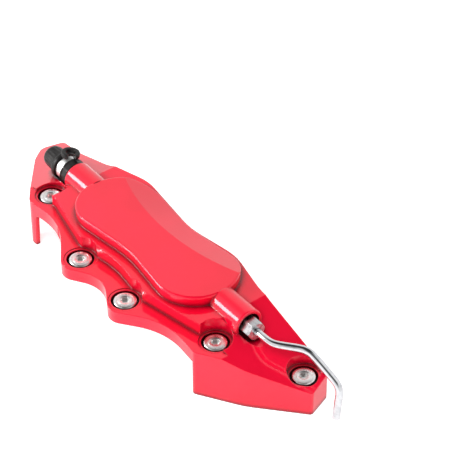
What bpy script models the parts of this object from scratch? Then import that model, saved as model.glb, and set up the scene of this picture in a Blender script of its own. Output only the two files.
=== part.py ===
# Decorative brake caliper cover: a cast shell with cap screws, a capped bleeder,
# a flare nut with its bent pipe, and two slotted mounting brackets underneath.
# X runs along the boss axis (bleeder end at -X), -Y is the screw side, +Z is up.
import math

import bmesh
import bpy
from mathutils import Matrix, Vector

MM = 0.001
GAP = 0.3                     # clearance between neighbouring pieces

# Shell heights and walls
FLANGE_TOP = 33.5
BODY_TOP = 42.0
PAD_TOP = 49.0
WALL = 2.6
ROOF = 2.5
SCREW_SKIRT = 8.5             # depth of the short skirt under the flange
PLAIN_SKIRT = 6.0             # depth of the short skirt on the plain side
BREAK_LEFT = -82.5            # where the left ramp leaves the body top
BREAK_RIGHT = 73.0
SLOPE_LEFT = 0.353
SLOPE_RIGHT = 0.405

# Boss axis, shared by the bleeder and the flare nut
AXIS_Y = 11.7
AXIS_Z = 39.5
BOSS_R = 9.9
BOSS_LEFT = -92.0
BOSS_RIGHT = 85.5
BOSS_ROOT_LEFT = -69.0        # where the bosses end inside the pad
BOSS_ROOT_RIGHT = 60.0

# Troughs in the ramps that clear the bleeder and the nut: radius, from x, to x, rise
TROUGHS = [(10.0, -122.0, -92.0, 0.2), (8.4, 85.5, 109.5, 0.6)]
TROUGH_FLOOR = 2.2            # metal left under a trough

# Windows between the legs: from x to x, and the one in the left end wall
NEAR_WINDOW = (-91.5, 78.0)
PLAIN_WINDOW = (-141.0, 108.0)
PLAIN_WINDOW_Y = 27.5
END_WINDOW_AT = (-123.0, 6.0, 0.0)
END_WINDOW_TURN = -52.0
END_WINDOW_W = 66.0
END_WINDOW_H = 12.0

# Bevel facet of the pad: a shallow cone about a far centre on the plain side
FACET_X = -5.0
FACET_Y = 183.0
FACET_R = 165.0
FACET_SLOPE = 0.34

# Outlines as corners: x, y, rounding radius (counter-clockwise from above)
FLANGE = [
    (-96.0, -22.6, 7), (-66.0, -18.6, 45), (-30.5, -43.0, 10), (-6.5, -27.0, 22),
    (19.5, -43.3, 10), (48.0, -21.5, 45), (79.5, -24.4, 3.5), (106.0, -7.5, 60),
    (135.8, 19.5, 2.5), (129.3, 36.8, 3), (70.0, 33.8, 60), (34.0, 42.2, 40),
    (-4.0, 35.8, 60), (-57.0, 42.8, 35), (-88.0, 33.5, 30), (-124.0, 35.3, 20),
    (-151.0, 40.3, 4), (-156.6, 26.0, 7), (-145.0, 13.5, 30),
]
STEP = [
    (-130.0, -80.0, 1), (110.0, -80.0, 1), (110.0, -8.5, 1), (71.0, -12.4, 10),
    (24.5, -21.6, 14), (-8.0, -17.6, 60), (-41.0, -22.2, 14), (-80.0, -13.2, 2),
    (-130.0, -12.6, 1),
]
PAD = [
    (-70.2, -19.5, 25), (-3.0, -10.8, 80), (60.8, -19.5, 26), (61.5, 42.4, 28),
    (-4.0, 35.2, 70), (-70.5, 43.0, 30),
]
PAD_ROUND = 1.2

# Cap screws: x, y, height of the head's top, depth of the boss below it
SCREWS = [
    (-92.6, -8.1, 33.0, 8.4), (-30.2, -28.6, 33.3, 8.2), (17.5, -29.1, 33.3, 8.2),
    (79.6, -8.4, 33.0, 8.4), (122.5, 23.6, 19.6, 9.0), (-134.0, 27.0, 22.2, 9.0),
]
HEAD_R = 7.2
HEAD_H = 3.4
SOCKET_R = 2.9
SHANK_R = 3.9
SHANK_L = 4.6
WASHER_R = 8.3
WASHER_H = 0.8
SEAT_R = 8.6                  # counterbore
SEAT_DEPTH = HEAD_H + WASHER_H + 2 * GAP
BOSS_WALL = 1.0
RECESS_R = 10.3               # pocket round a screw that stands against a wall

# Mounting brackets
POSTS = [(-38.0, -1.0), (30.0, 1.0)]   # x and the side on which the bracket reaches out
POST_Y = 9.0
POST_R = 7.0
POST_BOTTOM = 27.6
STRAP_T = 2.0
STRAP_W = 18.0
STRAP_INNER = 13.0
STRAP_REACH = 33.0
SLOT_R = 3.4
SLOT_TRAVEL = 6.0
LEG_BOTTOM = 8.0
FOOT_L = 12.0
BOLT_R = 2.95

# Rubber strap: an open eyelet over the gap between the cap's rim and the retaining ring
STRAP_LOOP_X = -101.2
STRAP_LOOP_OUT = 11.5
STRAP_TILT = 80.0             # direction of the eyelet from the axis, up from +Y
STRAP_LOOP_R = 4.6
STRAP_HALF = 1.4              # half its width
STRAP_THIN = 1.7              # half its thickness

# Brake pipe
PIPE_R = 2.375
PIPE_POINTS = [
    (80.0, 11.7, 39.5), (92.0, 11.7, 39.5), (99.0, 11.7, 39.6), (104.5, 12.0, 39.6),
    (109.5, 14.0, 39.7), (119.0, 21.4, 39.9), (123.5, 24.2, 39.6), (128.0, 26.2, 37.4),
    (141.0, 30.0, 27.4), (144.6, 30.8, 24.0), (146.6, 30.6, 20.0), (147.2, 29.6, 15.0),
    (148.3, 27.2, 2.6),
]
ORIGIN = (2.4, -0.45, 0.0)     # puts the origin under the middle of the whole part


def clear_scene():
    for obj in list(bpy.data.objects):
        bpy.data.objects.remove(obj, do_unlink=True)


def material(name, color, roughness, metallic):
    mat = bpy.data.materials.new(name)
    mat.use_nodes = True
    shader = mat.node_tree.nodes["Principled BSDF"]
    shader.inputs["Base Color"].default_value = (*color, 1.0)
    shader.inputs["Roughness"].default_value = roughness
    shader.inputs["Metallic"].default_value = metallic
    return mat


def new_object(name, bm, smooth=False):
    mesh = bpy.data.meshes.new(name)
    bmesh.ops.recalc_face_normals(bm, faces=bm.faces)
    bm.to_mesh(mesh)
    bm.free()
    if smooth:
        mesh.shade_smooth()
        mesh.set_sharp_from_angle(angle=math.radians(35))
    obj = bpy.data.objects.new(name, mesh)
    bpy.context.collection.objects.link(obj)
    return obj


def carve(target, tool, operation="DIFFERENCE"):
    """Applies one Boolean to the target's mesh and removes the tool."""
    cut = target.modifiers.new("cut", "BOOLEAN")
    cut.object = tool
    cut.operation = operation
    cut.solver = "EXACT"
    graph = bpy.context.evaluated_depsgraph_get()
    mesh = bpy.data.meshes.new_from_object(target.evaluated_get(graph))
    target.modifiers.remove(cut)
    target.data = mesh
    bpy.data.objects.remove(tool, do_unlink=True)


def inset(corners, amount):
    """Moves every edge of an outline inwards; a negative amount moves them out."""
    moved = []
    count = len(corners)
    for i, (x, y, radius) in enumerate(corners):
        here = Vector((x, y))
        before = (here - Vector(corners[i - 1][:2])).normalized()
        after = (Vector(corners[(i + 1) % count][:2]) - here).normalized()
        turn = before.x * after.y - before.y * after.x
        bisector = Vector((-before.y - after.y, before.x + after.x)).normalized()
        reach = amount / max(0.2, bisector.dot(Vector((-before.y, before.x))))
        spot = here + bisector * reach
        rounding = radius - amount if turn > 0 else radius + amount
        moved.append((spot.x, spot.y, max(0.3, rounding)))
    return moved


def rounded(corners, step=14.0):
    """Outline points with every corner turned into an arc."""
    points = []
    count = len(corners)
    for i, (x, y, radius) in enumerate(corners):
        here = Vector((x, y))
        before = (here - Vector(corners[i - 1][:2])).normalized()
        after = (Vector(corners[(i + 1) % count][:2]) - here).normalized()
        turn = math.atan2(before.x * after.y - before.y * after.x, before.dot(after))
        tangent = radius * math.tan(abs(turn) / 2)
        start = here - before * tangent
        side = math.copysign(1.0, turn)
        centre = start + Vector((-before.y, before.x)) * radius * side
        steps = max(1, math.ceil(abs(math.degrees(turn)) / step))
        arm = start - centre
        for k in range(steps + 1):
            points.append(centre + Matrix.Rotation(turn * k / steps, 2) @ arm)
    return points


def loft(rings, cap=True):
    """Joins rings of equal length, lowest first, into one closed body."""
    bm = bmesh.new()
    loops = [[bm.verts.new(Vector(p) * MM) for p in ring] for ring in rings]
    count = len(loops[0])
    for low, high in zip(loops, loops[1:]):
        for i in range(count):
            j = (i + 1) % count
            bm.faces.new((low[i], low[j], high[j], high[i]))
    if cap:
        bm.faces.new(list(reversed(loops[0])))
        bm.faces.new(loops[-1])
    return bm


def prism(corners, bottom, top, edge=0.0):
    """A vertical block on a rounded outline, its top edge chamfered by edge."""
    rings = [[(p.x, p.y, bottom) for p in rounded(corners)]]
    if edge:
        rings.append([(p.x, p.y, top - edge) for p in rounded(corners)])
        rings.append([(p.x, p.y, top) for p in rounded(inset(corners, edge))])
    else:
        rings.append([(p.x, p.y, top) for p in rounded(corners)])
    return new_object("block", loft(rings))


def turned(profile, segments=32, along_x=False, place=(0, 0, 0), hollow=False):
    """A body of revolution from (radius, height) pairs, about Z or about X."""
    rings = []
    for radius, height in profile:
        ring = []
        for k in range(segments):
            angle = 2 * math.pi * k / segments
            across = radius * math.cos(angle)
            up = radius * math.sin(angle)
            point = (height, across, up) if along_x else (across, up, height)
            ring.append(Vector(place) + Vector(point))
        rings.append(ring)
    if hollow:
        rings.append(rings[0])
    bm = loft(rings, cap=not hollow)
    if hollow:
        bmesh.ops.remove_doubles(bm, verts=bm.verts, dist=0.00001)
    return new_object("turned", bm, smooth=True)


def box(low, high):
    x0, y0, z0 = low
    x1, y1, z1 = high
    ring = [(x0, y0), (x1, y0), (x1, y1), (x0, y1)]
    return new_object("box", loft([[(x, y, z) for x, y in ring] for z in (z0, z1)]))


def side_profile(points, y0, y1):
    """A block with an outline in X and Z, running from y0 to y1."""
    return new_object("profile", loft([[(x, y, z) for x, z in points] for y in (y0, y1)]))


def cylinder(radius, bottom, top, x, y, segments=32):
    return turned([(radius, bottom), (radius, top)], segments, place=(x, y, 0))


def ramp_cutter(drop):
    """Everything above the two ramps, drop below the outer faces."""
    left_end = -170.0
    right_end = 170.0
    fall_left = SLOPE_LEFT * (BREAK_LEFT - left_end)
    fall_right = SLOPE_RIGHT * (right_end - BREAK_RIGHT)
    level = BODY_TOP - drop
    left = side_profile([(left_end, level - fall_left), (BREAK_LEFT, level),
                         (BREAK_LEFT, 80), (left_end, 80)], -90, 90)
    right = side_profile([(BREAK_RIGHT, level), (right_end, level - fall_right),
                          (right_end, 80), (BREAK_RIGHT, 80)], -90, 90)
    return left, right


def facet_cutter(drop):
    """The space above the pad's bevel facet."""
    near = FACET_R + 2.0
    far = FACET_R - 45.0
    top = PAD_TOP - drop
    rings = []
    for k in range(17):
        angle = math.radians(-40 + 5 * k)
        spots = [(near, top + 2.0 * FACET_SLOPE), (near, 90.0), (far, 90.0),
                 (far, top - 45.0 * FACET_SLOPE)]
        rings.append([(FACET_X + r * math.sin(angle), FACET_Y - r * math.cos(angle), z)
                      for r, z in spots])
    return new_object("facet", loft(rings))


def stack(wall, roof, floor):
    """The outer form of the shell, or its hollow when wall and roof are given."""
    form = prism(inset(FLANGE, wall), floor, BODY_TOP - roof)
    carve(form, prism(inset(STEP, -wall), FLANGE_TOP - roof, 80))
    for cutter in ramp_cutter(roof):
        carve(form, cutter)
    for x, y, top, _ in SCREWS:
        pocket = top - SEAT_DEPTH - (ROOF if wall else 0) + (0 if wall else SEAT_DEPTH - 0.2)
        carve(form, cylinder(RECESS_R + wall, pocket, 80, x, y))
    if wall:
        for radius, start, end, rise in TROUGHS:
            bed = [(radius + TROUGH_FLOOR, start - TROUGH_FLOOR),
                   (radius + TROUGH_FLOOR, end + TROUGH_FLOOR)]
            carve(form, turned(bed, 40, along_x=True, place=(0, AXIS_Y, AXIS_Z + rise)))
    pad = prism(inset(PAD, wall), BODY_TOP - roof - 2, PAD_TOP - roof, PAD_ROUND)
    carve(pad, facet_cutter(roof))
    carve(form, pad, "UNION")
    return form


def windows():
    """Openings between the legs: screw side, plain side and left end."""
    left, right = NEAR_WINDOW
    under = FLANGE_TOP - SCREW_SKIRT
    near = side_profile([(left, -1), (right, -1), (right, under), (left + 2.5, under),
                         (left + 1, under - 2)], -70, -6)
    left, right = PLAIN_WINDOW
    lip = BODY_TOP - PLAIN_SKIRT
    low_left = lip - SLOPE_LEFT * (BREAK_LEFT - left - 5)
    low_right = lip - SLOPE_RIGHT * (right - 2 - BREAK_RIGHT)
    plain = side_profile([(left, -1), (right, -1), (right - 2, low_right), (BREAK_RIGHT, lip),
                          (BREAK_LEFT, lip), (left + 7, low_left), (left + 3, low_left - 3)],
                         PLAIN_WINDOW_Y, 60)
    half = END_WINDOW_W / 2
    end = side_profile([(-half, -1), (half, -1), (half - 6, 8), (half - 11, END_WINDOW_H),
                        (11 - half, END_WINDOW_H), (6 - half, 8)], -9, 9)
    turn = Matrix.Rotation(math.radians(END_WINDOW_TURN), 4, "Z")
    end.data.transform(Matrix.Translation(Vector(END_WINDOW_AT) * MM) @ turn)
    return near, plain, end


def cover_shell():
    shell = stack(0.0, 0.0, 0.0)
    carve(shell, stack(WALL, ROOF, -2.0))
    for cutter in windows():
        carve(shell, cutter)
    for x, y, top, depth in SCREWS:
        seat = top - SEAT_DEPTH
        carve(shell, cylinder(SEAT_R + BOSS_WALL, top - depth, seat + 2.0, x, y), "UNION")
    for x, _ in POSTS:
        carve(shell, cylinder(POST_R, POST_BOTTOM, PAD_TOP - 1.0, x, POST_Y), "UNION")
    for start, end, direction in ((BOSS_LEFT, BOSS_ROOT_LEFT, 1),
                                  (BOSS_RIGHT, BOSS_ROOT_RIGHT, -1)):
        profile = [(BOSS_R - 1, start), (BOSS_R, start + direction), (BOSS_R, end)]
        profile.sort(key=lambda pair: pair[1])
        carve(shell, turned(profile, 40, along_x=True, place=(0, AXIS_Y, AXIS_Z)), "UNION")
    for radius, start, end, rise in TROUGHS:
        trough = [(radius, start), (radius, end)]
        carve(shell, turned(trough, 40, along_x=True, place=(0, AXIS_Y, AXIS_Z + rise)))
    bore = [(5.4, -76.0), (5.4, BOSS_LEFT - 1)]
    bore.reverse()
    carve(shell, turned(bore, 32, along_x=True, place=(0, AXIS_Y, AXIS_Z)))
    bore = [(5.3, 68.0), (5.3, 79.0), (7.6, 79.0), (7.6, BOSS_RIGHT + 1)]
    carve(shell, turned(bore, 32, along_x=True, place=(0, AXIS_Y, AXIS_Z)))
    for x, y, top, depth in SCREWS:
        hole = [(SHANK_R + GAP, top - depth - 1), (SHANK_R + GAP, top - SEAT_DEPTH),
                (SEAT_R, top - SEAT_DEPTH), (SEAT_R, 80)]
        carve(shell, turned(hole, 32, place=(x, y, 0)))
    for x, _ in POSTS:
        carve(shell, cylinder(BOLT_R + GAP, POST_BOTTOM - 1, POST_BOTTOM + 12, x, POST_Y))
    shell.name = "cover_shell"
    return shell


def cap_screw(index, x, y, top):
    bottom = top - HEAD_H
    profile = [(SHANK_R - 0.6, bottom - SHANK_L), (SHANK_R, bottom - SHANK_L + 0.8),
               (SHANK_R, bottom), (HEAD_R, bottom), (HEAD_R, top - 1.2),
               (HEAD_R - 0.5, top - 0.4), (HEAD_R - 1.5, top)]
    screw = turned(profile, 32, place=(x, y, 0))
    carve(screw, turned([(SOCKET_R, top - 2.2), (SOCKET_R, top + 1)], 6, place=(x, y, 0)))
    screw.name = f"cap_screw_{index}"
    return screw


def washer(name, x, y, bottom, inner, outer, thickness):
    top = bottom + thickness
    profile = [(inner, bottom), (outer, bottom), (outer, top), (inner, top)]
    ring = turned(profile, 32, place=(x, y, 0), hollow=True)
    ring.name = name
    return ring


def fasteners(steel, rubber):
    pieces = []
    for index, (x, y, top, _) in enumerate(SCREWS, 1):
        pieces.append((cap_screw(index, x, y, top), steel))
        seat = top - SEAT_DEPTH + GAP
        ring = washer(f"screw_washer_{index}", x, y, seat, SHANK_R + GAP, WASHER_R, WASHER_H)
        pieces.append((ring, rubber))
    return pieces


def axial(name, profile, segments=32, hollow=False):
    """A turned piece on the boss axis; heights are given from -X to +X."""
    place = (0, AXIS_Y, AXIS_Z)
    piece = turned(profile, segments, along_x=True, place=place, hollow=hollow)
    piece.name = name
    return piece


def bleeder():
    """Bleeder screw, its rubber cap, the retaining ring and the strap between them."""
    screw = axial("bleeder_screw", [(4.2, -118.0), (3.6, -116.0), (3.6, -104.5), (8.0, -104.5),
                                    (8.0, -99.0), (5.0, -99.0), (5.0, -77.0)])
    cap = axial("bleeder_cap", [(0.8, -121.5), (5.2, -121.0), (6.9, -119.0), (7.8, -109.0),
                                (9.2, -108.2), (9.4, -105.6), (8.8, -104.8), (4.5, -104.8),
                                (4.5, -119.0), (0.8, -119.0)], hollow=True)
    ring = axial("cap_retaining_ring", [(5.3, -98.7), (8.6, -98.7), (9.2, -97.9),
                                        (9.2, -93.0), (8.6, -92.3), (5.3, -92.3)], hollow=True)
    tilt = math.radians(STRAP_TILT)
    out = Vector((0, math.cos(tilt), math.sin(tilt)))
    across = Vector((0, -math.sin(tilt), math.cos(tilt)))
    centre = Vector((STRAP_LOOP_X, AXIS_Y, AXIS_Z)) + out * STRAP_LOOP_OUT
    strap_rings = []
    for k in range(25):
        angle = math.radians(60 + 300 * k / 24)
        arm = Vector((math.cos(angle), 0, 0)) + across * math.sin(angle)
        strap_rings.append([centre + arm * (STRAP_LOOP_R + wide) + out * thick
                            for wide, thick in ((-STRAP_HALF, -STRAP_THIN), (STRAP_HALF, -STRAP_THIN),
                                                (STRAP_HALF, STRAP_THIN), (-STRAP_HALF, STRAP_THIN))])
    strap = new_object("cap_strap", loft(strap_rings))
    return screw, cap, ring, strap


def flare_nut():
    hexagon = turned([(6.35, 81.0), (6.35, 93.2)], 6, along_x=True, place=(0, AXIS_Y, AXIS_Z))
    chamfer = axial("chamfer", [(6.6, 80.0), (6.6, 92.4), (5.3, 93.6)], 40)
    carve(hexagon, chamfer, "INTERSECT")
    thread = axial("thread", [(4.4, 70.0), (5.0, 71.0), (5.0, 82.0)], 32)
    carve(hexagon, thread, "UNION")
    carve(hexagon, axial("bore", [(PIPE_R + GAP, 78.0), (PIPE_R + GAP, 95.0)], 24))
    hexagon.name = "flare_nut"
    return hexagon


def brake_pipe():
    """The pipe's centre line is a smooth curve through its own points."""
    curve = bpy.data.curves.new("brake_pipe", "CURVE")
    curve.dimensions = "3D"
    curve.bevel_depth = PIPE_R * MM
    curve.bevel_resolution = 2
    curve.use_fill_caps = True
    points = [Vector(p) for p in PIPE_POINTS]
    smooth = []
    for i in range(len(points) - 1):
        p0 = points[max(i - 1, 0)]
        p1 = points[i]
        p2 = points[i + 1]
        p3 = points[min(i + 2, len(points) - 1)]
        for k in range(3):
            t = k / 3
            smooth.append(0.5 * (2 * p1 + (p2 - p0) * t + (2 * p0 - 5 * p1 + 4 * p2 - p3) * t * t
                                 + (3 * p1 - p0 - 3 * p2 + p3) * t * t * t))
    smooth.append(points[-1])
    spline = curve.splines.new("POLY")
    spline.points.add(len(smooth) - 1)
    for target, point in zip(spline.points, smooth):
        target.co = (*(point * MM), 1.0)
    pipe = bpy.data.objects.new("brake_pipe", curve)
    bpy.context.collection.objects.link(pipe)
    return pipe


def bracket(side_name, x, side):
    """A slotted strap bent down to a foot, its rubber pad, bolt and washer."""
    top = POST_BOTTOM - GAP
    under = top - STRAP_T
    inner = x - side * STRAP_INNER
    outer = x + side * STRAP_REACH
    foot = outer - side * FOOT_L
    low_y = POST_Y - STRAP_W / 2
    high_y = POST_Y + STRAP_W / 2
    outline = [(inner, under), (outer - side * STRAP_T, under),
               (outer - side * STRAP_T, LEG_BOTTOM + STRAP_T), (foot, LEG_BOTTOM + STRAP_T),
               (foot, LEG_BOTTOM), (outer, LEG_BOTTOM), (outer, top), (inner, top)]
    strap = side_profile(outline, low_y, high_y)
    reach = SLOT_TRAVEL + GAP
    slot = [(x - reach, POST_Y - SLOT_R, SLOT_R - 0.1), (x + reach, POST_Y - SLOT_R, SLOT_R - 0.1),
            (x + reach, POST_Y + SLOT_R, SLOT_R - 0.1), (x - reach, POST_Y + SLOT_R, SLOT_R - 0.1)]
    slot = [(cx + math.copysign(SLOT_R, cx - x), cy, r) for cx, cy, r in slot]
    carve(strap, prism(slot, under - 1, top + 1))
    strap.name = f"bracket_{side_name}"
    pad = box((min(foot, outer), low_y + 1, LEG_BOTTOM - GAP - 3.0),
              (max(foot, outer), high_y - 1, LEG_BOTTOM - GAP))
    pad.name = f"bracket_pad_{side_name}"
    seat = under - GAP
    ring = washer(f"bracket_washer_{side_name}", x, POST_Y, seat - 1.2, BOLT_R + GAP, 7.5, 1.2)
    head_top = seat - 1.2 - GAP
    bolt = turned([(5.75, head_top - 4.0), (5.75, head_top)], 6, place=(x, POST_Y, 0))
    shank = cylinder(BOLT_R, head_top - 1.0, POST_BOTTOM + 9.0, x, POST_Y, 24)
    carve(bolt, shank, "UNION")
    bolt.name = f"bracket_bolt_{side_name}"
    return strap, pad, ring, bolt


def build():
    clear_scene()
    red = material("red_lacquer", (0.85, 0.01, 0.03), 0.15, 0.0)
    steel = material("bright_steel", (0.75, 0.75, 0.75), 0.2, 1.0)
    zinc = material("zinc_plate", (0.6, 0.62, 0.64), 0.4, 1.0)
    rubber = material("black_rubber", (0.02, 0.02, 0.02), 0.6, 0.0)
    pieces = [(cover_shell(), red)]
    pieces += fasteners(steel, rubber)
    screw, cap, ring, strap = bleeder()
    pieces += [(screw, steel), (cap, rubber), (ring, rubber), (strap, rubber)]
    pieces += [(flare_nut(), zinc), (brake_pipe(), steel)]
    for name, (x, side) in zip(("left", "right"), POSTS):
        strap, pad, ring, bolt = bracket(name, x, side)
        pieces += [(strap, zinc), (pad, rubber), (ring, zinc), (bolt, zinc)]
    origin = bpy.data.objects.new("part_origin", None)
    bpy.context.collection.objects.link(origin)
    origin.location = Vector(ORIGIN) * MM
    for piece, finish in pieces:
        piece.data.materials.clear()
        piece.data.materials.append(finish)
        piece.parent = origin


build()
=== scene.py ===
import math
import bmesh
import bpy
from mathutils import Matrix, Vector


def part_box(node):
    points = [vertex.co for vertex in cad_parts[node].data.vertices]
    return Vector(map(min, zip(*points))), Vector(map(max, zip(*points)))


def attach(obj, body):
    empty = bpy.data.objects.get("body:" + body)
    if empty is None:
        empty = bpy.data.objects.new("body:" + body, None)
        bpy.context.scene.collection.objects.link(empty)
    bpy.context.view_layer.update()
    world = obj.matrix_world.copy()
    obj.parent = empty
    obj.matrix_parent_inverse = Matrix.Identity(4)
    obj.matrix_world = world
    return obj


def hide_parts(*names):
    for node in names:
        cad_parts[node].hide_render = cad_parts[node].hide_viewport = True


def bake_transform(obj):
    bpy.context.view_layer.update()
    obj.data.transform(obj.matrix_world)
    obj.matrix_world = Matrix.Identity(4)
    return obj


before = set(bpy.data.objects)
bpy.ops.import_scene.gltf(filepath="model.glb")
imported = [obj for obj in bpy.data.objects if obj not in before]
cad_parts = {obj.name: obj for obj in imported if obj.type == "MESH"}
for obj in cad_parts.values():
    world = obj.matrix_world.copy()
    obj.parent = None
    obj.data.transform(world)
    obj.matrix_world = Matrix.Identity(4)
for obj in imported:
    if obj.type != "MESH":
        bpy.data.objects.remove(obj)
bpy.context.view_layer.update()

# A decorative brake caliper cover: red lacquered shell, bright cap screws, a capped
# bleeder at -X, a flare nut with its bent pipe at +X, brackets underneath.
mm = 0.001
scene = bpy.context.scene

# The drawing's own zero comes from the cap retaining ring's CAD node; the boss axis is given.
ringLow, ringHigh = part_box("cap_retaining_ring")
ringMiddle = (ringLow + ringHigh) / 2 / mm
ringX = -95.5                       # the ring's place on the drawing
axisY, axisZ = 11.7, 39.5
home = ringMiddle - Vector((ringX, axisY, axisZ))


def linear(hexText):
    parts = [int(hexText[i:i + 2], 16) / 255 for i in (1, 3, 5)]
    return [c / 12.92 if c <= 0.04045 else ((c + 0.055) / 1.055) ** 2.4 for c in parts] + [1.0]


def finishMesh(name, bm, sharp=32):
    mesh = bpy.data.meshes.new(name)
    bmesh.ops.recalc_face_normals(bm, faces=bm.faces)
    bm.to_mesh(mesh)
    bm.free()
    mesh.shade_smooth()
    mesh.set_sharp_from_angle(angle=math.radians(sharp))
    obj = bpy.data.objects.new(name, mesh)
    scene.collection.objects.link(obj)
    return obj


def carve(target, tool, operation="DIFFERENCE"):
    cut = target.modifiers.new("cut", "BOOLEAN")
    cut.object = tool
    cut.operation = operation
    cut.solver = "EXACT"
    graph = bpy.context.evaluated_depsgraph_get()
    mesh = bpy.data.meshes.new_from_object(target.evaluated_get(graph))
    target.modifiers.remove(cut)
    target.data = mesh
    bpy.data.objects.remove(tool, do_unlink=True)


def loft(rings, closed=False):
    bm = bmesh.new()
    loops = [[bm.verts.new((Vector(p) + home) * mm) for p in ring] for ring in rings]
    count = len(loops[0])
    pairs = list(zip(loops, loops[1:])) + ([(loops[-1], loops[0])] if closed else [])
    for low, high in pairs:
        for i in range(count):
            j = (i + 1) % count
            bm.faces.new((low[i], low[j], high[j], high[i]))
    if not closed:
        bm.faces.new(list(reversed(loops[0])))
        bm.faces.new(loops[-1])
    return bm


def inset(corners, amount):
    moved = []
    count = len(corners)
    for i, (x, y, radius) in enumerate(corners):
        here = Vector((x, y))
        before = (here - Vector(corners[i - 1][:2])).normalized()
        after = (Vector(corners[(i + 1) % count][:2]) - here).normalized()
        turn = before.x * after.y - before.y * after.x
        bisector = Vector((-before.y - after.y, before.x + after.x)).normalized()
        reach = amount / max(0.2, bisector.dot(Vector((-before.y, before.x))))
        spot = here + bisector * reach
        moved.append((spot.x, spot.y, max(0.3, radius - amount if turn > 0 else radius + amount)))
    return moved


def rounded(corners, step):
    points = []
    count = len(corners)
    for i, (x, y, radius) in enumerate(corners):
        here = Vector((x, y))
        before = (here - Vector(corners[i - 1][:2])).normalized()
        after = (Vector(corners[(i + 1) % count][:2]) - here).normalized()
        turn = math.atan2(before.x * after.y - before.y * after.x, before.dot(after))
        start = here - before * radius * math.tan(abs(turn) / 2)
        centre = start + Vector((-before.y, before.x)) * radius * math.copysign(1.0, turn)
        steps = max(2, math.ceil(abs(math.degrees(turn)) / step))
        arm = start - centre
        points += [centre + Matrix.Rotation(turn * k / steps, 2) @ arm for k in range(steps + 1)]
    return points


def prism(corners, bottom, top, edge=0.0, step=6.0, edgeSteps=8):
    rings = [[(p.x, p.y, bottom) for p in rounded(corners, step)]]
    if edge:
        for k in range(edgeSteps + 1):
            lean = math.pi / 2 * k / edgeSteps
            outline = rounded(inset(corners, edge * (1 - math.cos(lean))), step)
            rings.append([(p.x, p.y, top - edge + edge * math.sin(lean)) for p in outline])
    else:
        rings.append([(p.x, p.y, top) for p in rounded(corners, step)])
    return finishMesh("block", loft(rings))


def turned(profile, segments=64, along=False, place=(0, 0, 0), hollow=False, name="turned",
           lobes=None):
    rings = []
    for radius, height in profile:
        ring = []
        for k in range(segments):
            angle = 2 * math.pi * k / segments
            reach = radius + (lobes(angle, height) if lobes else 0.0)
            across, up = reach * math.cos(angle), reach * math.sin(angle)
            point = (height, across, up) if along else (across, up, height)
            ring.append(Vector(place) + Vector(point))
        rings.append(ring)
    return finishMesh(name, loft(rings, closed=hollow))


def block(points, y0, y1):
    return finishMesh("profile", loft([[(x, y, z) for x, z in points] for y in (y0, y1)]))


def cylinder(radius, bottom, top, x, y, segments=64):
    return turned([(radius, bottom), (radius, top)], segments, place=(x, y, 0))


def roundEdge(radius, height, size, turnIn=-1, rise=1, steps=8):
    # points of a quarter-round between a turned wall and its end face
    return [(radius + turnIn * size * (1 - math.cos(math.pi / 2 * k / steps)),
             height + rise * size * (math.sin(math.pi / 2 * k / steps) - 1))
            for k in range(steps + 1)]


def newMaterial(name, base, metallic, roughness):
    mat = bpy.data.materials.new(name)
    mat.use_nodes = True
    shader = mat.node_tree.nodes["Principled BSDF"]
    shader.inputs["Base Color"].default_value = linear(base)
    shader.inputs["Metallic"].default_value = metallic
    shader.inputs["Roughness"].default_value = roughness
    return mat, mat.node_tree, shader


def addNode(tree, kind, settings=None, links=None):
    node = tree.nodes.new(kind)
    for key, value in (settings or {}).items():
        if isinstance(key, str) and hasattr(node, key):
            setattr(node, key, value)
        else:
            node.inputs[key].default_value = value
    for key, source in (links or {}).items():
        tree.links.new(source, node.inputs[key])
    return node


def perMetre(millimetres):
    return 1 / (millimetres * mm)


def colourRamp(tree, factor, stops):
    ramp = addNode(tree, "ShaderNodeValToRGB", links={"Fac": factor})
    elements = ramp.color_ramp.elements
    for index, (spot, colour) in enumerate(stops):
        element = elements[index] if index < 2 else elements.new(spot)
        element.position = spot
        element.color = linear(colour)
    return ramp


lacquer = {
    # painted shade: the dark maroon that the red turns to in corners, creases, recesses and
    # troughs
    "red": "#FF0838", "deepRed": "#F20630", "paintedShade": "#470008",
    "peel": 2.4,          # mm between the soft waves of the sprayed coat
    "drift": 45.0,        # mm, slow drift of the colour's depth
    "edgeRound": 0.8,     # mm, how far lacquer rounds every edge and corner
    "paintedShadeReach": 5.0,     # mm from a corner within which painted shade darkens the colour
}


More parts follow.
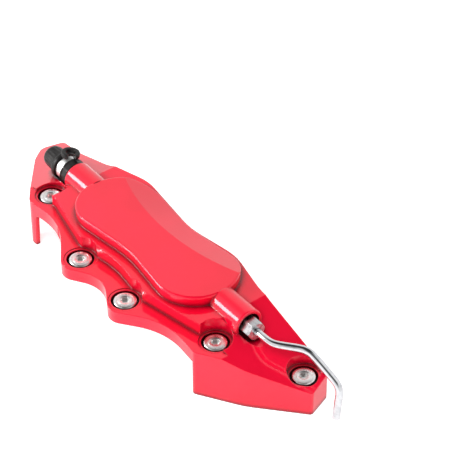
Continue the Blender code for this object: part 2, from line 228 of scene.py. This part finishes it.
def candyLacquer():
    # Candy red lacquer over cast aluminium, sprayed and glossy: a deep even red, white sheen on
    # faces that see the light, soft waves, and painted shade that darkens the red to maroon in
    # corners, creases and recesses.
    mat, tree, shader = newMaterial("candyLacquerOverCastAluminium", lacquer["red"], 0.25, 0.35)
    spot = addNode(tree, "ShaderNodeTexCoord").outputs["Object"]
    drift = addNode(tree, "ShaderNodeTexNoise", {"Scale": perMetre(lacquer["drift"])},
                    {"Vector": spot})
    depth = colourRamp(tree, drift.outputs["Fac"], [(0.35, lacquer["deepRed"]),
                                                    (0.65, lacquer["red"])])
    # painted shade: ambient occlusion darkens the base colour to dark maroon in corners, creases,
    # recesses and the troughs under bleeder and nut
    corner = addNode(tree, "ShaderNodeAmbientOcclusion",
                     {"Distance": lacquer["paintedShadeReach"] * mm, "samples": 6})
    paintedShadeMask = colourRamp(tree, corner.outputs["AO"], [(0.45, "#FFFFFF"), (0.9, "#000000")])
    redWithPaintedShade = addNode(tree, "ShaderNodeMix", {"data_type": "RGBA"},
                    {0: paintedShadeMask.outputs["Color"], 6: depth.outputs["Color"]})
    redWithPaintedShade.inputs[7].default_value = linear(lacquer["paintedShade"])
    peel = addNode(tree, "ShaderNodeTexNoise", {"Scale": perMetre(lacquer["peel"]), "Detail": 1.0},
                   {"Vector": spot})
    soft = addNode(tree, "ShaderNodeBevel", {"samples": 6, "Radius": lacquer["edgeRound"] * mm})
    wave = addNode(tree, "ShaderNodeBump", {"Strength": 0.05, "Distance": 0.0003},
                   {"Height": peel.outputs["Fac"], "Normal": soft.outputs["Normal"]})
    tree.links.new(redWithPaintedShade.outputs[2], shader.inputs["Base Color"])
    tree.links.new(wave.outputs["Normal"], shader.inputs["Normal"])
    tree.links.new(wave.outputs["Normal"], shader.inputs["Coat Normal"])
    shader.inputs["Specular IOR Level"].default_value = 0.1
    shader.inputs["Coat Weight"].default_value = 1.0
    shader.inputs["Coat Roughness"].default_value = 0.04
    return mat


def turnedMetal(name, base, roughness, groove, edge, grain="#8E8E90"):
    # Metal turned on a lathe: fine marks round the axis, small tone changes in its
    # plating, and edges that catch the light.
    mat, tree, shader = newMaterial(name, base, 1.0, roughness)
    spot = addNode(tree, "ShaderNodeTexCoord").outputs["Object"]
    cloud = addNode(tree, "ShaderNodeTexNoise", {"Scale": perMetre(3.0), "Detail": 3.0},
                    {"Vector": spot})
    tone = colourRamp(tree, cloud.outputs["Fac"], [(0.3, grain), (0.55, base)])
    marks = addNode(tree, "ShaderNodeTexNoise", {"Scale": perMetre(groove), "Detail": 2.0},
                    {"Vector": spot})
    rough = addNode(tree, "ShaderNodeMapRange",
                    {"To Min": roughness * 0.7, "To Max": roughness * 1.4},
                    {"Value": cloud.outputs["Fac"]})
    soft = addNode(tree, "ShaderNodeBevel", {"samples": 4, "Radius": edge * mm})
    bump = addNode(tree, "ShaderNodeBump", {"Strength": 0.06, "Distance": 0.0001},
                   {"Height": marks.outputs["Fac"], "Normal": soft.outputs["Normal"]})
    tree.links.new(tone.outputs["Color"], shader.inputs["Base Color"])
    tree.links.new(rough.outputs["Result"], shader.inputs["Roughness"])
    tree.links.new(bump.outputs["Normal"], shader.inputs["Normal"])
    return mat


def mouldedRubber(name, base, dusty):
    # Moulded black rubber: charcoal rather than black, a broad dull sheen, a fine grain,
    # and a paler dusty bloom here and there.
    mat, tree, shader = newMaterial(name, base, 0.0, 0.42)
    spot = addNode(tree, "ShaderNodeTexCoord").outputs["Object"]
    bloom = addNode(tree, "ShaderNodeTexNoise", {"Scale": perMetre(6.0), "Detail": 4.0},
                    {"Vector": spot})
    tone = colourRamp(tree, bloom.outputs["Fac"], [(0.4, base), (0.75, dusty)])
    grain = addNode(tree, "ShaderNodeTexNoise", {"Scale": perMetre(0.5), "Detail": 2.0},
                    {"Vector": spot})
    bump = addNode(tree, "ShaderNodeBump", {"Strength": 0.25, "Distance": 0.0002},
                   {"Height": grain.outputs["Fac"]})
    rough = addNode(tree, "ShaderNodeMapRange", {"To Min": 0.3, "To Max": 0.5},
                    {"Value": bloom.outputs["Fac"]})
    tree.links.new(tone.outputs["Color"], shader.inputs["Base Color"])
    tree.links.new(rough.outputs["Result"], shader.inputs["Roughness"])
    tree.links.new(bump.outputs["Normal"], shader.inputs["Normal"])
    shader.inputs["Specular IOR Level"].default_value = 0.3
    return mat


redLacquer = candyLacquer()
brightPlate = turnedMetal("nickelPlatedSteel", "#FAFAF8", 0.28, 0.6, 0.25, "#ECECEC")
satinZinc = turnedMetal("satinZincPlatedSteel", "#D2D3D5", 0.27, 0.5, 0.3, "#B4B5B8")
chromePlate = turnedMetal("chromePlatedPipe", "#E4E5E8", 0.09, 1.5, 0.1, "#D2D4D8")
rubber = mouldedRubber("mouldedBlackRubber", "#100E0E", "#2A2726")
print("materials made")


def place(piece, body, mat, slotName, *nodes):
    piece.data.materials.clear()
    piece.data.materials.append(mat)
    if body:
        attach(piece, body)
    if nodes:
        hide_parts(*nodes)
    return piece


# The shell, in mm on the drawing. An outline is a list of corners: x, y, rounding radius.
shell = {
    "flangeTop": 33.5, "bodyTop": 42.0, "padTop": 49.0, "wall": 2.6, "roof": 2.5,
    "screwSkirt": 8.5, "plainSkirt": 6.0,
    "breakLeft": -82.5, "breakRight": 73.0, "slopeLeft": 0.353, "slopeRight": 0.405,
    "bossRadius": 9.9, "bossLeft": -92.0, "bossRight": 85.5,
    "rootLeft": -69.0, "rootRight": 60.0,
    "troughs": [(10.0, -122.0, -92.0, 0.2), (8.4, 85.5, 109.5, 0.6)],   # radius, x, x, rise
    "troughFloor": 2.2,
    "nearWindow": (-91.5, 78.0), "plainWindow": (-141.0, 108.0), "plainWindowY": 27.5,
    "endWindowAt": (-123.0, 6.0, 0.0), "endWindowTurn": -52.0, "endWindowWidth": 66.0,
    "endWindowHeight": 12.0,
    "facet": (-5.0, 183.0, 165.0, 0.34),     # centre x, y, radius and slope of the bevel cone
    "padRound": 1.4,
    "flange": [
        (-96.0, -22.6, 7), (-66.0, -18.6, 45), (-30.5, -43.0, 10), (-6.5, -27.0, 22),
        (19.5, -43.3, 10), (48.0, -21.5, 45), (79.5, -24.4, 3.5), (106.0, -7.5, 60),
        (135.8, 19.5, 2.5), (129.3, 36.8, 3), (70.0, 33.8, 60), (34.0, 42.2, 40),
        (-4.0, 35.8, 60), (-57.0, 42.8, 35), (-88.0, 33.5, 30), (-124.0, 35.3, 20),
        (-151.0, 40.3, 4), (-156.6, 26.0, 7), (-145.0, 13.5, 30)],
    "step": [
        (-130.0, -80.0, 1), (110.0, -80.0, 1), (110.0, -8.5, 1), (71.0, -12.4, 10),
        (24.5, -21.6, 14), (-8.0, -17.6, 60), (-41.0, -22.2, 14), (-80.0, -13.2, 2),
        (-130.0, -12.6, 1)],
    "pad": [
        (-70.2, -19.5, 25), (-3.0, -10.8, 80), (60.8, -19.5, 26), (61.5, 42.4, 28),
        (-4.0, 35.2, 70), (-70.5, 43.0, 30)],
    "seatRadius": 8.6, "seatDepth": 4.8, "bossWall": 1.0, "recessRadius": 10.3,
    "shankHole": 4.2, "bossDepth": 8.4,
}
posts = {"radius": 7.0, "bottom": 27.6, "hole": 3.25, "y": 9.0}


def nodeMiddle(name):
    low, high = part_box(name)
    return (low + high) / 2 / mm - home


screws = []
for index in range(1, 7):
    low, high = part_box(f"cap_screw_{index}")
    middle = nodeMiddle(f"cap_screw_{index}")
    screws.append((middle.x, middle.y, high.z / mm - home.z))
postXs = [nodeMiddle(f"bracket_bolt_{side}").x for side in ("left", "right")]


def rampCutters(drop):
    level = shell["bodyTop"] - drop
    left, right, top = -170.0, 170.0, 80
    fallLeft = shell["slopeLeft"] * (shell["breakLeft"] - left)
    fallRight = shell["slopeRight"] * (right - shell["breakRight"])
    yield block([(left, level - fallLeft), (shell["breakLeft"], level),
                 (shell["breakLeft"], top), (left, top)], -90, 90)
    yield block([(shell["breakRight"], level), (right, level - fallRight),
                 (right, top), (shell["breakRight"], top)], -90, 90)


def facetCutter(drop):
    centreX, centreY, radius, slope = shell["facet"]
    near, far, top = radius + 2.0, radius - 45.0, shell["padTop"] - drop
    rings = []
    for k in range(41):
        angle = math.radians(-40 + 2 * k)
        spots = [(near, top + 2.0 * slope), (near, 90.0), (far, 90.0), (far, top - 45.0 * slope)]
        rings.append([(centreX + r * math.sin(angle), centreY - r * math.cos(angle), z)
                      for r, z in spots])
    return finishMesh("facet", loft(rings))


def troughs(spare):
    for radius, start, end, rise in shell["troughs"]:
        yield turned([(radius + spare, start - spare), (radius + spare, end + spare)], 72,
                     along=True, place=(0, axisY, axisZ + rise))


def stack(wall, roof, floor):
    step = 12.0 if wall else 5.0
    form = prism(inset(shell["flange"], wall), floor, shell["bodyTop"] - roof, step=step)
    carve(form, prism(inset(shell["step"], -wall), shell["flangeTop"] - roof, 80, step=step))
    for cutter in rampCutters(roof):
        carve(form, cutter)
    for x, y, top in screws:
        pocket = top - (shell["seatDepth"] + roof if wall else 0.2)
        carve(form, cylinder(shell["recessRadius"] + wall, pocket, 80, x, y))
    if wall:
        for trough in troughs(shell["troughFloor"]):
            carve(form, trough)
    pad = prism(inset(shell["pad"], wall), shell["bodyTop"] - roof - 2, shell["padTop"] - roof,
                0 if wall else shell["padRound"], step)
    carve(pad, facetCutter(roof))
    carve(form, pad, "UNION")
    return form


def windows():
    left, right = shell["nearWindow"]
    under = shell["flangeTop"] - shell["screwSkirt"]
    yield block([(left, -1), (right, -1), (right, under), (left + 2.5, under),
                 (left + 1, under - 2)], -70, -6)
    left, right = shell["plainWindow"]
    lip = shell["bodyTop"] - shell["plainSkirt"]
    lowLeft = lip - shell["slopeLeft"] * (shell["breakLeft"] - left - 5)
    lowRight = lip - shell["slopeRight"] * (right - 2 - shell["breakRight"])
    yield block([(left, -1), (right, -1), (right - 2, lowRight), (shell["breakRight"], lip),
                 (shell["breakLeft"], lip), (left + 7, lowLeft), (left + 3, lowLeft - 3)],
                shell["plainWindowY"], 60)
    half, high = shell["endWindowWidth"] / 2, shell["endWindowHeight"]
    end = block([(-half, -1), (half, -1), (half - 6, 8), (half - 11, high), (11 - half, high),
                 (6 - half, 8)], -9, 9)
    turn = Matrix.Rotation(math.radians(shell["endWindowTurn"]), 4, "Z")
    end.data.transform(Matrix.Translation((Vector(shell["endWindowAt"]) + home) * mm) @ turn
                       @ Matrix.Translation(-home * mm))
    yield end


def onAxis(profile, segments=64, **options):
    return turned(profile, segments, along=True, place=(0, axisY, axisZ), **options)


def coverShell():
    body = stack(0.0, 0.0, 0.0)
    carve(body, stack(shell["wall"], shell["roof"], -2.0))
    for cutter in windows():
        carve(body, cutter)
    for x, y, top in screws:
        seat = top - shell["seatDepth"]
        carve(body, cylinder(shell["seatRadius"] + shell["bossWall"], top - shell["bossDepth"],
                             seat + 2.0, x, y), "UNION")
    for x in postXs:
        carve(body, cylinder(posts["radius"], posts["bottom"], shell["padTop"] - 1.0,
                             x, posts["y"]), "UNION")
    radius = shell["bossRadius"]
    leftBoss = [(pair[0], pair[1]) for pair in reversed(
        roundEdge(radius, shell["bossLeft"], 0.9, rise=-1))] + [(radius, shell["rootLeft"])]
    rightBoss = [(radius, shell["rootRight"])] + roundEdge(radius, shell["bossRight"], 0.9)
    for profile in (leftBoss, rightBoss):
        carve(body, onAxis(profile, 96), "UNION")
    for trough in troughs(0.0):
        carve(body, trough)
    carve(body, onAxis([(5.4, shell["bossLeft"] - 1), (5.4, -76.0)]))
    carve(body, onAxis([(5.3, 68.0), (5.3, 79.0), (7.6, 79.0), (7.6, shell["bossRight"] + 1)]))
    for x, y, top in screws:
        seat = top - shell["seatDepth"]
        carve(body, turned([(shell["shankHole"], top - 15), (shell["shankHole"], seat),
                            (shell["seatRadius"], seat), (shell["seatRadius"], 80)],
                           72, place=(x, y, 0)))
    for x in postXs:
        carve(body, cylinder(posts["hole"], posts["bottom"] - 1, posts["bottom"] + 12,
                             x, posts["y"]))
    body.name = "coverShell"
    body.data.shade_smooth()
    body.data.set_sharp_from_angle(angle=math.radians(14.5))
    fix = body.modifiers.new("flat faces", "WEIGHTED_NORMAL")
    fix.keep_sharp = True
    return place(body, "cover", redLacquer, "red_lacquer", "cover_shell")


coverShell()
print("shell made")

screwHead = {"radius": 7.2, "height": 3.4, "dome": 1.0, "ringIn": 4.6, "ringOut": 5.2,
             "groove": 0.18, "socket": 2.9, "socketDepth": 2.2, "shank": 3.9, "shankLength": 4.6}


def capScrew(index, x, y, top):
    s = screwHead
    under = top - s["height"]
    profile = [(s["shank"] - 0.6, under - s["shankLength"]),
               (s["shank"], under - s["shankLength"] + 0.6), (s["shank"], under),
               (s["radius"] - 0.2, under), (s["radius"], under + 0.2)]
    profile += roundEdge(s["radius"], top - 0.1, s["dome"], steps=6)
    profile += [(s["ringOut"] + 0.1, top), (s["ringOut"], top - s["groove"]),
                (s["ringIn"], top - s["groove"]), (s["ringIn"] - 0.1, top)]
    profile += [(s["socket"] + 0.55, top), (s["socket"] + 0.1, top - 0.25)]
    screw = turned(profile, 72, place=(x, y, 0), name=f"capScrew{index}")
    carve(screw, turned([(s["socket"], top - s["socketDepth"]), (s["socket"], top + 1)], 6,
                        place=(x, y, 0)))
    screw.data.shade_smooth()
    screw.data.set_sharp_from_angle(angle=math.radians(30))
    place(screw, "cover", brightPlate, "bright_steel", f"cap_screw_{index}")


for index, (x, y, top) in enumerate(screws, 1):
    capScrew(index, x, y, top)
print("screws made")

bleeder = {"tip": -118.0, "bandStart": -104.5, "bandEnd": -99.0, "bandRadius": 8.0,
           "knurls": 44, "knurl": 0.12,
           "capEnd": -121.5, "rimStart": -108.2, "rimEnd": -104.8, "ribs": 16, "rib": 0.16,
           "ringStart": -98.7, "ringEnd": -92.3, "ringRadius": 9.2}


def bleederPieces():
    b = bleeder
    low, high = b["bandStart"], b["bandEnd"]

    def knurl(angle, height):
        onBand = low + 0.7 < height < high - 0.7
        return b["knurl"] * math.cos(angle * b["knurls"]) if onBand else 0.0

    r = b["bandRadius"]
    profile = [(3.0, b["tip"] + 0.5), (3.6, b["tip"] + 1.2), (3.6, low), (r - 0.4, low),
               (r - 0.12, low + 0.3), (r - 0.12, low + 0.65), (r - 0.12, low + 0.9),
               (r - 0.12, high - 0.9), (r - 0.12, high - 0.65), (r - 0.12, high - 0.3),
               (r - 0.4, high), (5.0, high), (5.0, -77.0)]
    screw = onAxis(profile, b["knurls"] * 4, name="bleederScrew", lobes=knurl)
    place(screw, "bleeder", brightPlate, "bright_steel", "bleeder_screw")

    def ribs(angle, height):
        onWall = -118.0 < height < -110.5
        return b["rib"] * math.cos(angle * b["ribs"]) if onWall else 0.0

    end, start, rim = b["capEnd"], b["rimStart"], b["rimEnd"]
    outer = [(0.5, end), (4.6, end + 0.1), (5.9, end + 0.6), (6.7, end + 1.6), (7.0, end + 3.0),
             (7.1, end + 4.0), (7.5, -111.5), (7.7, -109.6), (7.9, -108.9), (8.5, start - 0.1),
             (9.0, start + 0.1), (9.35, start + 0.6), (9.4, start + 1.2), (9.4, rim - 0.9),
             (9.2, rim - 0.3), (8.7, rim)]
    inner = [(5.0, rim), (4.5, rim - 0.4), (4.5, -119.0), (0.5, -119.0)]
    cap = onAxis(outer + inner, 96, hollow=True, name="bleederCap", lobes=ribs)
    place(cap, "cap", rubber, "black_rubber", "bleeder_cap")

    a, z, r = b["ringStart"], b["ringEnd"], b["ringRadius"]
    flats = 12

    def facets(angle, height):
        # the ring's middle is moulded with flats for grip
        if not a + 1.2 < height < z - 1.2:
            return 0.0
        part = (angle + math.pi / flats) % (2 * math.pi / flats) - math.pi / flats
        return 8.9 * math.cos(math.pi / flats) / math.cos(part) - 8.9 + 0.1

    ringProfile = [(5.3, a), (8.6, a), (9.05, a + 0.2), (r, a + 0.6), (r, a + 1.1),
                   (8.9, a + 1.4), (8.9, z - 1.4), (r, z - 1.1), (r, z - 0.6), (9.05, z - 0.2),
                   (8.6, z), (5.3, z)]
    ring = onAxis(ringProfile, 96, hollow=True, name="capRetainingRing", lobes=facets)
    place(ring, "cover", rubber, "black_rubber", "cap_retaining_ring")


strapLoop = {"x": -101.2, "out": 11.5, "tilt": 80.0, "radius": 4.6, "halfWidth": 1.4,
             "halfThick": 1.7, "corner": 0.45, "stretchFromTo": (-95.0, -107.0)}


def capStrap():
    # an open eyelet: a flat moulded band bent into a loop over the knurled band
    tilt = math.radians(strapLoop["tilt"])
    out = Vector((0, math.cos(tilt), math.sin(tilt)))
    across = Vector((0, -math.sin(tilt), math.cos(tilt)))
    centre = Vector((strapLoop["x"], axisY, axisZ)) + out * strapLoop["out"]
    wide, thick, corner = strapLoop["halfWidth"], strapLoop["halfThick"], strapLoop["corner"]
    section = []
    for k in range(24):
        angle = 2 * math.pi * k / 24
        c, s = math.cos(angle), math.sin(angle)
        section.append((math.copysign(abs(c) ** corner, c) * wide,
                        math.copysign(abs(s) ** corner, s) * thick))
    rings = []
    for k in range(61):
        angle = math.radians(60 + 300 * k / 60)
        arm = Vector((math.cos(angle), 0, 0)) + across * math.sin(angle)
        rings.append([centre + arm * (strapLoop["radius"] + w) + out * t for w, t in section])
    strap = finishMesh("capStrap", loft(rings), 50)
    place(strap, None, rubber, "black_rubber", "cap_strap")
    ends = [Vector((x, axisY, axisZ)) for x in strapLoop["stretchFromTo"]]
    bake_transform(strap)


bleederPieces()
capStrap()
print("bleeder made")

nut = {"start": 81.0, "end": 93.2, "flat": 6.35, "chamfer": 0.9, "collar": 4.3,
       "bore": 2.675, "thread": 5.0, "pitch": 1.0}


def flareNut():
    n = nut
    chamfer = onAxis([(6.6, n["start"] - 1.0), (6.6, n["end"] - n["chamfer"]),
                      (5.25, n["end"] + 0.3)], 96)
    piece = onAxis([(n["flat"], n["start"]), (n["flat"], n["end"])], 6)
    carve(piece, chamfer, "INTERSECT")
    thread = [(4.4, 70.0)]
    x = 70.8
    while x < n["start"] - 0.3:
        thread += [(n["thread"] - 0.55, x), (n["thread"], x + n["pitch"] / 2)]
        x += n["pitch"]
    thread.append((n["thread"] - 0.4, n["start"] + 1))
    carve(piece, onAxis(thread, 48), "UNION")
    carve(piece, onAxis([(n["bore"], 60.0), (n["bore"], 99.0)], 48))
    piece.name = "flareNut"
    piece.data.shade_smooth()
    piece.data.set_sharp_from_angle(angle=math.radians(20))
    place(piece, "nut", satinZinc, "zinc_plate", "flare_nut")


pipe = {"radius": 2.375, "bits": 10, "segments": 40, "points": [
    (80.0, 11.7, 39.5), (92.0, 11.7, 39.5), (99.0, 11.7, 39.6), (104.5, 12.0, 39.6),
    (109.5, 14.0, 39.7), (119.0, 21.4, 39.9), (123.5, 24.2, 39.6), (128.0, 26.2, 37.4),
    (141.0, 30.0, 27.4), (144.6, 30.8, 24.0), (146.6, 30.6, 20.0), (147.2, 29.6, 15.0),
    (148.3, 27.2, 2.6)]}


def brakePipe():
    points = [Vector(p) for p in pipe["points"]]
    path = []
    for i in range(len(points) - 1):
        p0, p1, p2 = points[max(i - 1, 0)], points[i], points[i + 1]
        p3 = points[min(i + 2, len(points) - 1)]
        for k in range(pipe["bits"]):
            t = k / pipe["bits"]
            path.append(0.5 * (2 * p1 + (p2 - p0) * t + (2 * p0 - 5 * p1 + 4 * p2 - p3) * t * t
                               + (3 * p1 - p0 - 3 * p2 + p3) * t * t * t))
    path.append(points[-1])
    for _ in range(6):     # the bender's rollers leave no sudden change of bend
        path = [path[0]] + [(a + b * 2 + c) / 4 for a, b, c in zip(path, path[1:], path[2:])] \
            + [path[-1]]
    side = Vector((0, 1, 0))
    rings = []
    for i, spot in enumerate(path):
        ahead = (path[min(i + 1, len(path) - 1)] - path[max(i - 1, 0)]).normalized()
        side = (side - ahead * side.dot(ahead)).normalized()
        up = ahead.cross(side)
        rings.append([spot + (side * math.cos(a) + up * math.sin(a)) * pipe["radius"]
                      for a in (2 * math.pi * k / pipe["segments"]
                                for k in range(pipe["segments"]))])
    piece = finishMesh("brakePipe", loft(rings), 40)
    place(piece, "pipe", chromePlate, "chrome_pipe", "brake_pipe")


flareNut()
brakePipe()
print("nut and pipe made")

# CAD pieces that keep their shape get their finish.
for name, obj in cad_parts.items():
    # The black rubber of the screw washers makes the ring round each screw head dark: partly a
    # real washer, partly painted shade in the gap of the counterbore.
    if name.startswith("bracket_pad") or name.startswith("screw_washer"):
        kept = rubber
    elif name.startswith("bracket"):
        kept = satinZinc
    else:
        continue
    obj.data.materials.clear()
    obj.data.materials.append(kept)

studio = {
    "floorSize": 6.0, "floorGlow": 0.62, "floorMirror": 0.2,
    "darkSide": (0.63, -0.44, 0.64),     # the unlit side of the studio
    "darkInner": 0.97, "darkOuter": 0.84, "darkLeft": 0.12,
    "horizon": 0.95, "ceiling": 0.05,
    "lamps": [
        # name, direction from the part, distance m, size m, power W
        ("key softbox", (0.45, -0.50, 0.80), 1.3, 0.9, 11),
        ("side strip", (-0.612, -0.646, 0.42), 1.1, 0.36, 6.0),
        ("back softbox", (-0.90, 0.42, 0.16), 1.2, 0.5, 0.4),
    ],
}


def makeFloor():
    half = studio["floorSize"] / 2
    bm = bmesh.new()
    bm.faces.new([bm.verts.new((x, y, 0)) for x, y in ((-half, -half), (half, -half),
                                                      (half, half), (-half, half))])
    floor = finishMesh("studioFloor", bm)
    floor.location.z = -0.0002
    mat, tree, shader = newMaterial("paleStudioPaper", "#F2F2F2", 0.0, 0.9)
    shader.inputs["Specular IOR Level"].default_value = 0.0
    shader.inputs["Emission Color"].default_value = (1, 1, 1, 1)
    seen = addNode(tree, "ShaderNodeLightPath")
    mirrored = addNode(tree, "ShaderNodeMath", {"operation": "ADD", "use_clamp": True},
                       {0: seen.outputs["Is Glossy Ray"], 1: seen.outputs["Is Transmission Ray"]})
    faint = addNode(tree, "ShaderNodeMath", {"operation": "MULTIPLY", 1: studio["floorMirror"]},
                    {0: mirrored.outputs[0]})
    glow = addNode(tree, "ShaderNodeMath", {"operation": "MULTIPLY_ADD", 1: studio["floorGlow"]},
                   {0: seen.outputs["Is Camera Ray"], 2: faint.outputs[0]})
    tree.links.new(glow.outputs[0], shader.inputs["Emission Strength"])
    floor.data.materials.append(mat)


def makeWorld():
    world = bpy.data.worlds.new("studio")
    scene.world = world
    world.use_nodes = True
    tree = world.node_tree
    background = tree.nodes["Background"]
    spot = addNode(tree, "ShaderNodeTexCoord").outputs["Generated"]
    height = addNode(tree, "ShaderNodeSeparateXYZ", links={0: spot}).outputs["Z"]
    fade = addNode(tree, "ShaderNodeMapRange", {
        "interpolation_type": "SMOOTHSTEP", "From Min": 0.70, "From Max": 0.90,
        "To Min": studio["horizon"], "To Max": studio["ceiling"]}, {"Value": height})
    toDark = addNode(tree, "ShaderNodeVectorMath", {"operation": "DOT_PRODUCT"}, {0: spot})
    toDark.inputs[1].default_value = Vector(studio["darkSide"]).normalized()
    dark = addNode(tree, "ShaderNodeMapRange", {
        "interpolation_type": "SMOOTHSTEP", "From Min": studio["darkOuter"],
        "From Max": studio["darkInner"], "To Min": 1.0, "To Max": studio["darkLeft"]},
        {"Value": toDark.outputs["Value"]})
    both = addNode(tree, "ShaderNodeMath", {"operation": "MULTIPLY"},
                   {0: fade.outputs["Result"], 1: dark.outputs["Result"]})
    seen = addNode(tree, "ShaderNodeLightPath")
    strength = addNode(tree, "ShaderNodeMix", {"data_type": "FLOAT"},
                       {0: seen.outputs["Is Camera Ray"], 2: both.outputs[0]})
    strength.inputs[3].default_value = 1.0
    background.inputs["Color"].default_value = (1, 1, 1, 1)
    tree.links.new(strength.outputs[0], background.inputs["Strength"])


def makeLamps():
    for name, direction, distance, size, power in studio["lamps"]:
        lamp = bpy.data.lights.new(name, "AREA")
        lamp.shape = "SQUARE"
        lamp.size = size
        lamp.energy = power
        obj = bpy.data.objects.new(name, lamp)
        arm = Vector(direction).normalized()
        obj.location = arm * distance
        obj.rotation_euler = arm.to_track_quat("Z", "Y").to_euler()
        obj.visible_glossy = name == "side strip"
        scene.collection.objects.link(obj)


view = {"stands": (798.78, -553.56, 869.70), "turned": (50.2089, 0.0, 52.3),
        "lens": 164.3514, "sensor": 36.0}


def makeCamera():
    camera = bpy.data.cameras.new("camera")
    camera.lens = view["lens"]
    camera.sensor_width = view["sensor"]
    obj = bpy.data.objects.new("camera", camera)
    obj.location = (Vector(view["stands"]) + home) * mm
    obj.rotation_euler = [math.radians(a) for a in view["turned"]]
    scene.collection.objects.link(obj)
    scene.camera = obj


makeFloor()
makeWorld()
makeLamps()
makeCamera()
scene.view_settings.view_transform = "Standard"
print("studio made")
